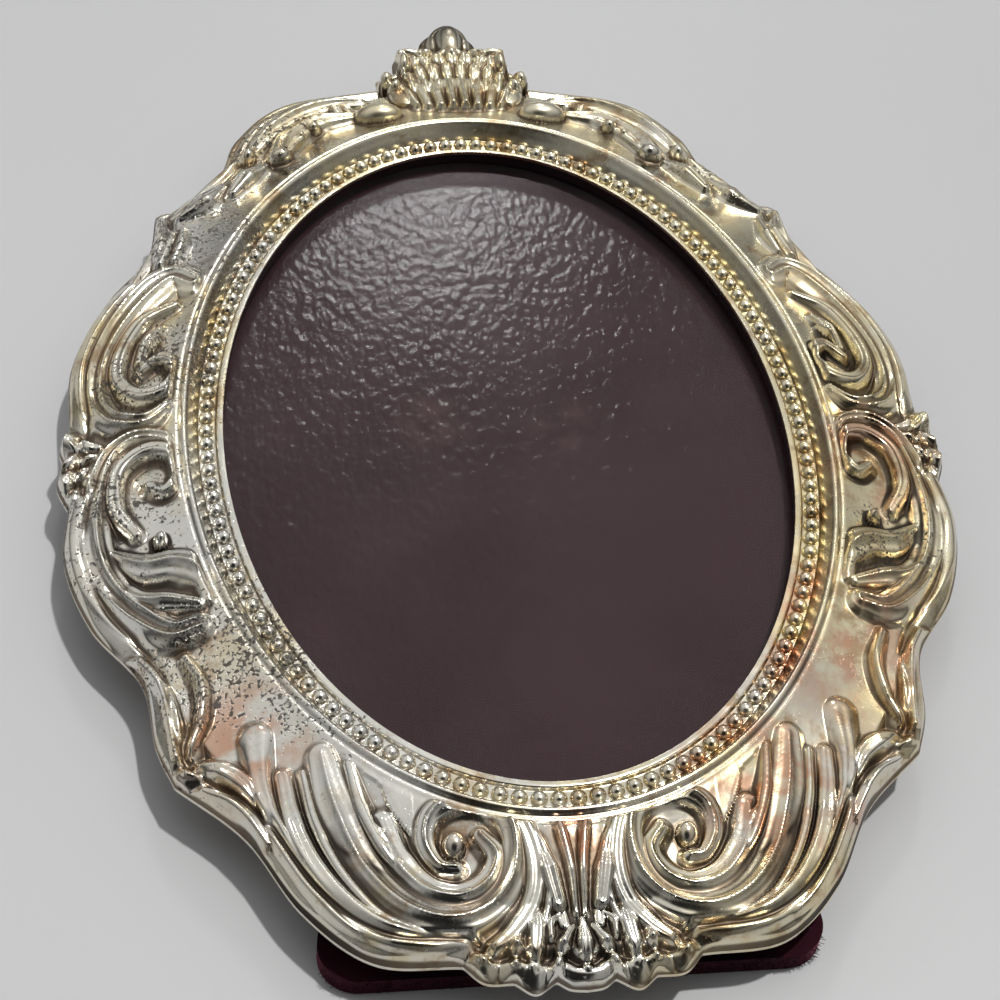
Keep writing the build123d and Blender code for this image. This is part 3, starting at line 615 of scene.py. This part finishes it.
def folded_tabs():
    """Strips bent over the edge of the back board, four to a side."""
    board_half_width, board_half_height, board_drop = 1.36 * HALF_WIDTH, 1.9 * HALF_WIDTH, 0.05 * HALF_WIDTH
    width, thickness, reach, height, rounding = 6.0, 0.4, 5.2, 4.0, 0.12
    foot = slab((0.7 - reach / 2, 0, 4.2), (reach, width, thickness))
    wall = slab((0.5, 0, 6.0), (thickness, width, height))
    strips = bmesh.new()
    for angle in (-65, -5, 22, 72):
        turn = math.radians(angle)
        for side in (1, -1):
            across, up = side * math.cos(turn), math.sin(turn)
            spot = Vector((board_half_width * across, board_half_height * up - board_drop + CENTRE_Y, 0))
            outward = Vector((across / board_half_width, up / board_half_height, 0)).normalized()
            place = Matrix.Translation(spot * MM) @ outward.to_track_quat("X", "Z").to_matrix().to_4x4()
            for part in (foot, wall):
                bmesh.ops.create_cube(strips, size=1.0, matrix=place @ part)
    piece = placed_object("folded_tabs", mesh_of("folded_tabs", strips))
    round_over = piece.modifiers.new("round", "BEVEL")
    round_over.width = rounding * MM
    round_over.segments = 2
    return piece


def bounds_of(obj):
    corners = np.array([obj.matrix_world @ Vector(corner) for corner in obj.bound_box]) / MM
    return corners.min(0), corners.max(0)


def strand_points(chance, low, high):
    """One loose thread of the pile: three points, from inside the velvet outward."""
    corner, rooted, mid_share = 5.5, 0.2, 0.6
    x = chance.uniform(-1, 1) * (high[0] - 0.3)
    inset = max(0.0, abs(x) - (high[0] - corner)) / corner
    forward = math.sqrt(max(0.0, 1 - inset**2))
    y = low[1] + corner * (1 - forward)
    z = chance.uniform(low[2] + 0.3, high[2] - 0.1)
    reach = chance.uniform(0.05, 0.42)
    drift = chance.uniform(-0.35, 0.35)
    bend = chance.uniform(-0.2, 0.2)
    outward = Vector((inset * math.copysign(1, x), -forward, 0))
    start = Vector((x, y, z)) - rooted * outward
    middle = start + outward * (rooted + mid_share * reach) + Vector((0.4 * drift, 0, bend))
    end = start + outward * (rooted + reach) + Vector((drift, 0, max(bend, 0.1 - z)))
    return start, middle, end


def velvet_fringe(leg):
    """Loose pile along the foot of the leg."""
    strands, thickness = 900, 0.05
    low, high = bounds_of(leg)
    chance = np.random.default_rng(5)
    data = bpy.data.curves.new("leg_fringe", "CURVE")
    data.dimensions = "3D"
    data.bevel_depth = thickness * MM
    data.bevel_resolution = 0
    data.use_fill_caps = True
    for _ in range(strands):
        strand = data.splines.new("POLY")
        strand.points.add(2)
        for point, spot in zip(strand.points, strand_points(chance, low, high)):
            point.co = (*(spot * MM), 1)
    drawn = bpy.data.objects.new("leg_fringe_curve", data)
    mesh = bpy.data.meshes.new_from_object(drawn)
    bpy.data.objects.remove(drawn)
    return placed_object("leg_fringe", mesh)


def fill(tree, made, inputs):
    """Sets a node's inputs, each to a number, a colour, a vector or another node's output."""
    for name, value in inputs.items():
        target = made.inputs[name]
        if isinstance(value, (int, float)):
            target.default_value = value
        elif isinstance(value, tuple):
            full = len(value) == len(target.default_value)
            target.default_value = value if full else (*value, 1.0)
        else:
            tree.links.new(value, target)


def node(tree, kind, inputs=None, **settings):
    made = tree.nodes.new(kind)
    for key, value in settings.items():
        setattr(made, key, value)
    fill(tree, made, inputs or {})
    return made


def material(name):
    """A new material, its node tree, its shader and the piece's own coordinates."""
    made = bpy.data.materials.new(name)
    made.use_nodes = True
    tree = made.node_tree
    coords = node(tree, "ShaderNodeTexCoord").outputs["Object"]
    return made, tree, tree.nodes["Principled BSDF"], coords


def noise(tree, coords, scale, detail=3.0, roughness=0.55, offset=(0, 0, 0), stretch=(1, 1, 1)):
    shift = node(tree, "ShaderNodeMapping", {"Location": offset, "Scale": stretch, "Vector": coords})
    spots = shift.outputs["Vector"]
    inputs = {"Scale": scale, "Detail": detail, "Roughness": roughness, "Vector": spots}
    return node(tree, "ShaderNodeTexNoise", inputs).outputs["Fac"]


def levels(tree, value, low, high, out_low=0.0, out_high=1.0):
    inputs = {"Value": value, "From Min": low, "From Max": high, "To Min": out_low, "To Max": out_high}
    return node(tree, "ShaderNodeMapRange", inputs, interpolation_type="SMOOTHSTEP").outputs["Result"]


def maths(tree, operation, a, b):
    return node(tree, "ShaderNodeMath", {0: a, 1: b}, operation=operation).outputs["Value"]


def plus(tree, a, b):
    return maths(tree, "ADD", a, b)


def minus(tree, a, b):
    return maths(tree, "SUBTRACT", a, b)


def times(tree, a, b):
    return maths(tree, "MULTIPLY", a, b)


def larger(tree, a, b):
    return maths(tree, "MAXIMUM", a, b)


def mix(tree, share, a, b):
    return node(tree, "ShaderNodeMix", {"Factor": share, "A": a, "B": b}, data_type="RGBA").outputs["Result"]


def patch(tree, coords, x, y, radius):
    """1 at the middle of a round patch, 0 outside it; x, y and radius in mm from the opening's centre."""
    flat = node(tree, "ShaderNodeVectorMath", {0: coords, 1: (1, 1, 0)}, operation="MULTIPLY")
    ends = {0: flat.outputs["Vector"], 1: (x * MM, (y + CENTRE_Y) * MM, 0)}
    gap = node(tree, "ShaderNodeVectorMath", ends, operation="DISTANCE")
    return levels(tree, gap.outputs["Value"], radius * MM, 0.2 * radius * MM)


def patches(tree, coords, places):
    """The strongest of several patches."""
    out = patch(tree, coords, *places[0])
    for place in places[1:]:
        out = larger(tree, out, patch(tree, coords, *place))
    return out


def dent(tree, shader, height, strength, distance):
    """Makes the surface follow the height; the distance is in mm."""
    inputs = {"Strength": strength, "Distance": distance * MM, "Height": height}
    normal = node(tree, "ShaderNodeBump", inputs).outputs["Normal"]
    fill(tree, shader, {"Normal": normal})
    return normal


# round patches of the plate: x, y and radius in mm from the opening's centre
COOL_PLACES = [(-62, -20, 36), (-40, -66, 30), (-58, 48, 26), (0, -92, 20)]
GILT_PLACES = [(0, 92, 60), (52, 40, 40), (52, -30, 26), (-60, -6, 14)]
COPPER_PLACES = [
    (46.7, -46.7, 22), (30, -74, 20), (-46, -62, 14), (62, -11, 16),
    (44, -86, 14), (1, -83, 8), (-14, -80, 6),
]
SPECKLED_PLACES = [
    (-45, -46, 34), (-64, -22, 26), (-58, 48, 34), (-40, 74, 26),
    (-60, 14, 22), (52, 66, 18), (60, -28, 14),
]
# painted dark reflections: black in these channels and on the ball's top
BLACK_CHANNELS = [(-35, -86, 24), (35, -86, 24), (0, -97, 10), (-62, -24, 16), (62, -22, 20), (58, 14, 14)]
BALL_TOP = (0, 112.5, 12)
# two paler pinkish spots on the panel
PANEL_PALE_SPOTS = [(-12.7, 5.9, 9), (11.5, 5.1, 10)]

PALE_SILVER = (0.83, 0.805, 0.73)
YELLOWED_SILVER = (0.81, 0.72, 0.49)
COOL_SILVER = (0.82, 0.81, 0.76)
GILT = (0.87, 0.78, 0.52)
STRAW = (0.74, 0.6, 0.34)
BRONZE = (0.44, 0.29, 0.15)
BARE_COPPER = (0.66, 0.38, 0.25)
# painted shade with brown tarnish, for the hollows
SHADE_AND_TARNISH_BROWN = (0.13, 0.085, 0.05)
# painted dark reflection, for the channels and the ball's top
PAINTED_REFLECTION_BLACK = (0.03, 0.025, 0.02)
SPECK_BLACK = (0.035, 0.028, 0.024)


def plate_tone(tree, coords, cloud, gilt):
    """Silver that has yellowed in clouds, paler in the cool places and browner outside them."""
    broad = noise(tree, coords, 26, 4, 0.6)
    yellowed = levels(tree, plus(tree, times(tree, broad, 0.6), times(tree, cloud, 0.4)), 0.4, 0.62)
    cool = patches(tree, coords, COOL_PLACES)
    browning = minus(tree, 1.0, times(tree, cool, 0.7))
    straw = levels(tree, noise(tree, coords, 95, 4, 0.62, (0.2, 0, 0.5)), 0.5, 0.66)
    bronze = levels(tree, noise(tree, coords, 150, 5, 0.65, (0.5, 0.9, 0.1)), 0.52, 0.66)
    colour = mix(tree, yellowed, PALE_SILVER, YELLOWED_SILVER)
    colour = mix(tree, times(tree, gilt, 0.5), colour, GILT)
    colour = mix(tree, times(tree, cool, 0.75), colour, COOL_SILVER)
    colour = mix(tree, times(tree, times(tree, straw, browning), 0.6), colour, STRAW)
    return mix(tree, times(tree, times(tree, bronze, browning), 0.75), colour, BRONZE)


def plate_specks(tree, coords, cloud):
    """Small and large dark specks, thickest in the speckled places."""
    speckled = patches(tree, coords, SPECKLED_PLACES)
    density = plus(tree, times(tree, speckled, 0.1), times(tree, cloud, 0.09))
    clusters = levels(tree, noise(tree, coords, 85, 3, 0.6, (0.7, 0.1, 0.3)), 0.38, 0.62, -0.05, 0.05)
    density = plus(tree, density, clusters)
    small = levels(tree, plus(tree, noise(tree, coords, 1500, 4, 0.6, (0.4, 0.4, 0)), density), 0.715, 0.75)
    large = levels(tree, plus(tree, noise(tree, coords, 620, 5, 0.65, (0.1, 0.8, 0)), density), 0.75, 0.78)
    return times(tree, larger(tree, small, large), levels(tree, speckled, 0.0, 0.3, 0.35, 1.0))


def tarnish_and_painted_shade(tree, coords, colour, hidden, hollow, specks):
    """Bare copper, painted shade with brown tarnish in the hollows, painted dark reflections in the channels
    and on the ball's top, and specks over the plate's tone.
    """
    copper = levels(tree, noise(tree, coords, 110, 4, 0.6, (0.9, 0.2, 0)), 0.42, 0.6)
    copper = times(tree, copper, patches(tree, coords, COPPER_PLACES))
    # painted dark reflections in the recessed channels and on the ball's top
    channels = times(tree, levels(tree, hidden, 0.3, 0.65), patches(tree, coords, BLACK_CHANNELS))
    painted_dark_reflection = times(tree, larger(tree, channels, patch(tree, coords, *BALL_TOP)), 0.9)
    colour = mix(tree, times(tree, copper, 0.9), colour, BARE_COPPER)
    colour = mix(tree, times(tree, hollow, 0.85), colour, SHADE_AND_TARNISH_BROWN)
    colour = mix(tree, painted_dark_reflection, colour, PAINTED_REFLECTION_BLACK)
    return mix(tree, times(tree, specks, 0.92), colour, SPECK_BLACK)


def silver_plate(name, worn):
    made, tree, shader, coords = material(name)
    cloud = noise(tree, coords, 70, 5, 0.6, (0.3, 0.1, 0))
    fine = noise(tree, coords, 420, 3, 0.6, (0.1, 0.7, 0))
    gilt = patches(tree, coords, GILT_PLACES)
    colour = plate_tone(tree, coords, cloud, gilt)
    if worn:
        specks = plate_specks(tree, coords, cloud)
        hidden = node(tree, "ShaderNodeAttribute", attribute_name="cavity").outputs["Fac"]
        # painted shade with brown tarnish in the hollows, from the cavity attribute and a cloud
        hollow = levels(tree, plus(tree, hidden, times(tree, cloud, 0.4)), 0.4, 1.0)
        colour = tarnish_and_painted_shade(tree, coords, colour, hidden, hollow, specks)
        rough = plus(tree, levels(tree, cloud, 0.3, 0.7, 0.12, 0.3), times(tree, hollow, 0.2))
        rough = plus(tree, rough, times(tree, gilt, 0.08))
        rough = plus(tree, rough, times(tree, specks, 0.4))
        metal = minus(tree, 1.0, times(tree, specks, 0.85))
        height = minus(tree, times(tree, fine, 0.5), times(tree, specks, 0.7))
    else:
        rough = levels(tree, cloud, 0.3, 0.7, 0.3, 0.45)
        metal = 1.0
        height = fine
    ripple = noise(tree, coords, 150, 2, 0.5, (0.6, 0.3, 0.2))
    stipple = noise(tree, coords, 800, 2, 0.5, (0.3, 0.8, 0.4))
    height = plus(tree, height, times(tree, ripple, 2.6))
    height = plus(tree, height, times(tree, stipple, 0.35))
    dent(tree, shader, height, 0.35, 0.16)
    fill(tree, shader, {"Base Color": colour, "Roughness": rough, "Metallic": metal})
    return made


def panel_gloss(tree, shader, coords, colour):
    """The panel's thin shine and two paler pinkish spots on it."""
    pale_spot_colour = (0.16, 0.09, 0.085)
    blotches = levels(tree, noise(tree, coords, 160, 3), 0.35, 0.65)
    # two paler pinkish spots, broken up by blotches
    pale_spots = times(tree, patches(tree, coords, PANEL_PALE_SPOTS), blotches)
    fill(tree, shader, {"Coat Weight": 0.42, "Coat Roughness": 0.115, "Specular IOR Level": 0.1})
    return mix(tree, times(tree, pale_spots, 0.35), colour, pale_spot_colour)


def leatherette(name, low, high, gloss):
    made, tree, shader, coords = material(name)
    cloud = noise(tree, coords, 34, 4, 0.6)
    grain = noise(tree, coords, 620, 3, 0.6, (0.2, 0.2, 0))
    dimples = noise(tree, coords, 600, 1, 0.5, (0.4, 0.1, 0), (1, 0.6, 1))
    cells = node(tree, "ShaderNodeTexVoronoi", {"Scale": 520, "Vector": coords}).outputs["Distance"]
    colour = mix(tree, levels(tree, cloud, 0.3, 0.7), low, high)
    if gloss:
        colour = panel_gloss(tree, shader, coords, colour)
    fill(tree, shader, {"Base Color": colour, "Roughness": levels(tree, grain, 0.3, 0.7, 0.4, 0.55)})
    height = plus(tree, times(tree, cells, 0.12), times(tree, grain, 0.16))
    height = plus(tree, height, times(tree, dimples, 0.78 if gloss else 0.5))
    normal = dent(tree, shader, height, 0.5, 0.3)
    if gloss:
        fill(tree, shader, {"Coat Normal": normal})
    return made


def clear_glass(name):
    made, tree, shader, coords = material(name)
    haze = noise(tree, coords, 60, 3)
    tint = mix(tree, levels(tree, haze, 0.3, 0.7), (0.06, 0.05, 0.052), (0.1, 0.09, 0.092))
    rough = levels(tree, haze, 0.3, 0.7, 0.1, 0.16)
    fill(tree, shader, {"Base Color": tint, "Roughness": rough, "Alpha": 0.1, "IOR": 1.45})
    return made


def velvet(name):
    made, tree, shader, coords = material(name)
    cloud = noise(tree, coords, 60, 4, 0.6)
    colour = mix(tree, levels(tree, cloud, 0.3, 0.7), (0.012, 0.003, 0.006), (0.032, 0.006, 0.012))
    lint = levels(tree, noise(tree, coords, 900, 2, 0.5, (0.5, 0, 0)), 0.72, 0.76)
    colour = mix(tree, times(tree, lint, 0.35), colour, (0.2, 0.12, 0.13))
    fill(tree, shader, {"Base Color": colour, "Roughness": 0.95, "Specular IOR Level": 0.1})
    fill(tree, shader, {"Sheen Weight": 0.7, "Sheen Roughness": 0.4, "Sheen Tint": (0.4, 0.12, 0.18)})
    dent(tree, shader, noise(tree, coords, 1500, 2, 0.6), 0.8, 0.2)
    return made


def hardboard(name):
    made, tree, shader, coords = material(name)
    fibre = noise(tree, coords, 900, 4, 0.7)
    cloud = noise(tree, coords, 80, 3)
    colour = mix(tree, levels(tree, cloud, 0.3, 0.7), (0.26, 0.16, 0.09), (0.36, 0.24, 0.14))
    colour = mix(tree, levels(tree, fibre, 0.55, 0.75, 0.0, 0.5), colour, (0.16, 0.09, 0.05))
    fill(tree, shader, {"Base Color": colour, "Roughness": 0.8})
    dent(tree, shader, fibre, 0.3, 0.1)
    return made


def fittings(name, low, high):
    made, tree, shader, coords = material(name)
    cloud = noise(tree, coords, 300, 4, 0.6)
    colour = mix(tree, levels(tree, cloud, 0.3, 0.7), low, high)
    rough = levels(tree, cloud, 0.3, 0.7, 0.2, 0.38)
    fill(tree, shader, {"Base Color": colour, "Roughness": rough, "Metallic": 1.0})
    return made


def dress(obj, made):
    obj.data.materials.clear()
    obj.data.materials.append(made)


worn_silver = silver_plate("silver_plate_face", True)
looks = {
    "silver_plate": silver_plate("silver_plate_back", False),
    "maroon_card": leatherette("maroon_card", (0.016, 0.007, 0.009), (0.026, 0.011, 0.014), False),
    "leatherette": leatherette("leatherette", (0.036, 0.013, 0.017), (0.049, 0.020, 0.025), True),
    "clear_glass": clear_glass("clear_glass"),
    "velvet": velvet("velvet"),
    "hardboard": hardboard("hardboard"),
    "brass_fittings": fittings("brass_fittings", (0.66, 0.5, 0.24), (0.78, 0.62, 0.34)),
    "steel_hinge": fittings("steel_hinge", (0.5, 0.5, 0.5), (0.62, 0.62, 0.61)),
}
slots = {part["node"]: part["material_slot"] for part in frame["record"]["subparts"]}
for name, obj in nodes.items():
    dress(obj, looks[slots[name]])

faces = front_faces() + [beads(), folded_tabs()]
for piece in faces:
    dress(piece, looks["silver_plate"] if piece.name in ("front_back_face", "folded_tabs") else worn_silver)
    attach(piece, "frame")
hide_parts("front_shell")

fringe = velvet_fringe(nodes["leg_velvet"])
dress(fringe, looks["velvet"])
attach(fringe, "easel_leg")


def table():
    """A pale table top; it can be seen through from below, so that the frame's back shows."""
    made, tree, shader, coords = material("table_top")
    cloud = noise(tree, coords, 3, 3, 0.5)
    colour = mix(tree, levels(tree, cloud, 0.3, 0.7), (0.56, 0.565, 0.58), (0.6, 0.605, 0.615))
    fill(tree, shader, {"Base Color": colour, "Roughness": 0.42, "Specular IOR Level": 0.3})
    below = node(tree, "ShaderNodeNewGeometry").outputs["Backfacing"]
    clear = node(tree, "ShaderNodeBsdfTransparent").outputs["BSDF"]
    either = node(tree, "ShaderNodeMixShader", {"Fac": below, 1: shader.outputs["BSDF"], 2: clear})
    fill(tree, tree.nodes["Material Output"], {"Surface": either.outputs["Shader"]})
    bpy.ops.mesh.primitive_plane_add(size=40, location=(0, 0, -0.2 * MM))
    floor = bpy.context.object
    floor.name = "table_top"
    dress(floor, made)


def key_light():
    """A sun high over the frame, from the right and a little from beyond it."""
    data = bpy.data.lights.new("key", "SUN")
    data.energy = 1.75
    data.angle = 0.045
    data.color = (1.0, 0.985, 0.96)
    lamp = placed_object("key", data)
    lamp.rotation_euler = Vector((-0.42, -0.18, -1.45)).to_track_quat("-Z", "Y").to_euler()


def facing_share(tree, direction, toward):
    """How much a direction looks one way: 1 is straight at it."""
    made = node(tree, "ShaderNodeVectorMath", {0: direction, 1: toward}, operation="DOT_PRODUCT")
    return made.outputs["Value"]


def surroundings():
    """A grey room, brighter overhead and on the far side, where a small strong glow is.

    The near side has a soft dark patch.
    """
    greys = ((0.03, 0.2), (0.08, 0.08), (0.16, 0.13), (0.36, 0.46), (0.6, 0.68))
    dark_patch, glow = (-0.13, -0.66, 0.74), (0.1, 0.768, 0.633)
    world = bpy.data.worlds.new("room")
    bpy.context.scene.world = world
    world.use_nodes = True
    tree = world.node_tree
    direction = node(tree, "ShaderNodeTexCoord").outputs["Generated"]
    split = node(tree, "ShaderNodeSeparateXYZ", {"Vector": direction})
    by_height = node(tree, "ShaderNodeValToRGB", {"Fac": split.outputs["Z"]})
    low, high = by_height.color_ramp.elements
    low.position, low.color = 0.0, (0.4, 0.4, 0.4, 1)
    high.position, high.color = 1.0, (0.8, 0.8, 0.8, 1)
    for place, grey in greys:
        by_height.color_ramp.elements.new(place).color = (grey, grey, grey, 1)
    far = levels(tree, split.outputs["Y"], -0.55, 0.55, 0.62, 1.1)
    shade = levels(tree, facing_share(tree, direction, dark_patch), 0.8, 0.94, 1.0, 0.04)
    shine = levels(tree, facing_share(tree, direction, glow), 0.997, 0.9999, 0.0, 27.0)
    strength = plus(tree, times(tree, times(tree, far, shade), 0.82), shine)
    fill(tree, tree.nodes["Background"], {"Color": by_height.outputs["Color"], "Strength": strength})


def camera():
    """The camera that was fitted to the lip of the opening in the photograph."""
    sensor_width, photo_width, focal_length = 36.0, 1000.0, 2225.3793
    data = bpy.data.cameras.new("view")
    data.sensor_width = sensor_width
    data.lens = focal_length * sensor_width / photo_width
    data.clip_start = 0.01
    placed = placed_object("view", data)
    turn = Matrix((
        (0.99082096, 0.02999788, -0.13181025),
        (-0.10933981, 0.75120713, -0.65094751),
        (0.07948976, 0.65938455, 0.74759173),
    ))
    spot = Vector((-51.49793, -254.99229 + CENTRE_Y, 274.10737 + LIP_TOP_Z)) * MM
    placed.matrix_world = Matrix.Translation(spot) @ turn.to_4x4()
    bpy.context.scene.camera = placed
    bpy.context.scene.view_settings.view_transform = "Standard"


table()
surroundings()
key_light()
camera()
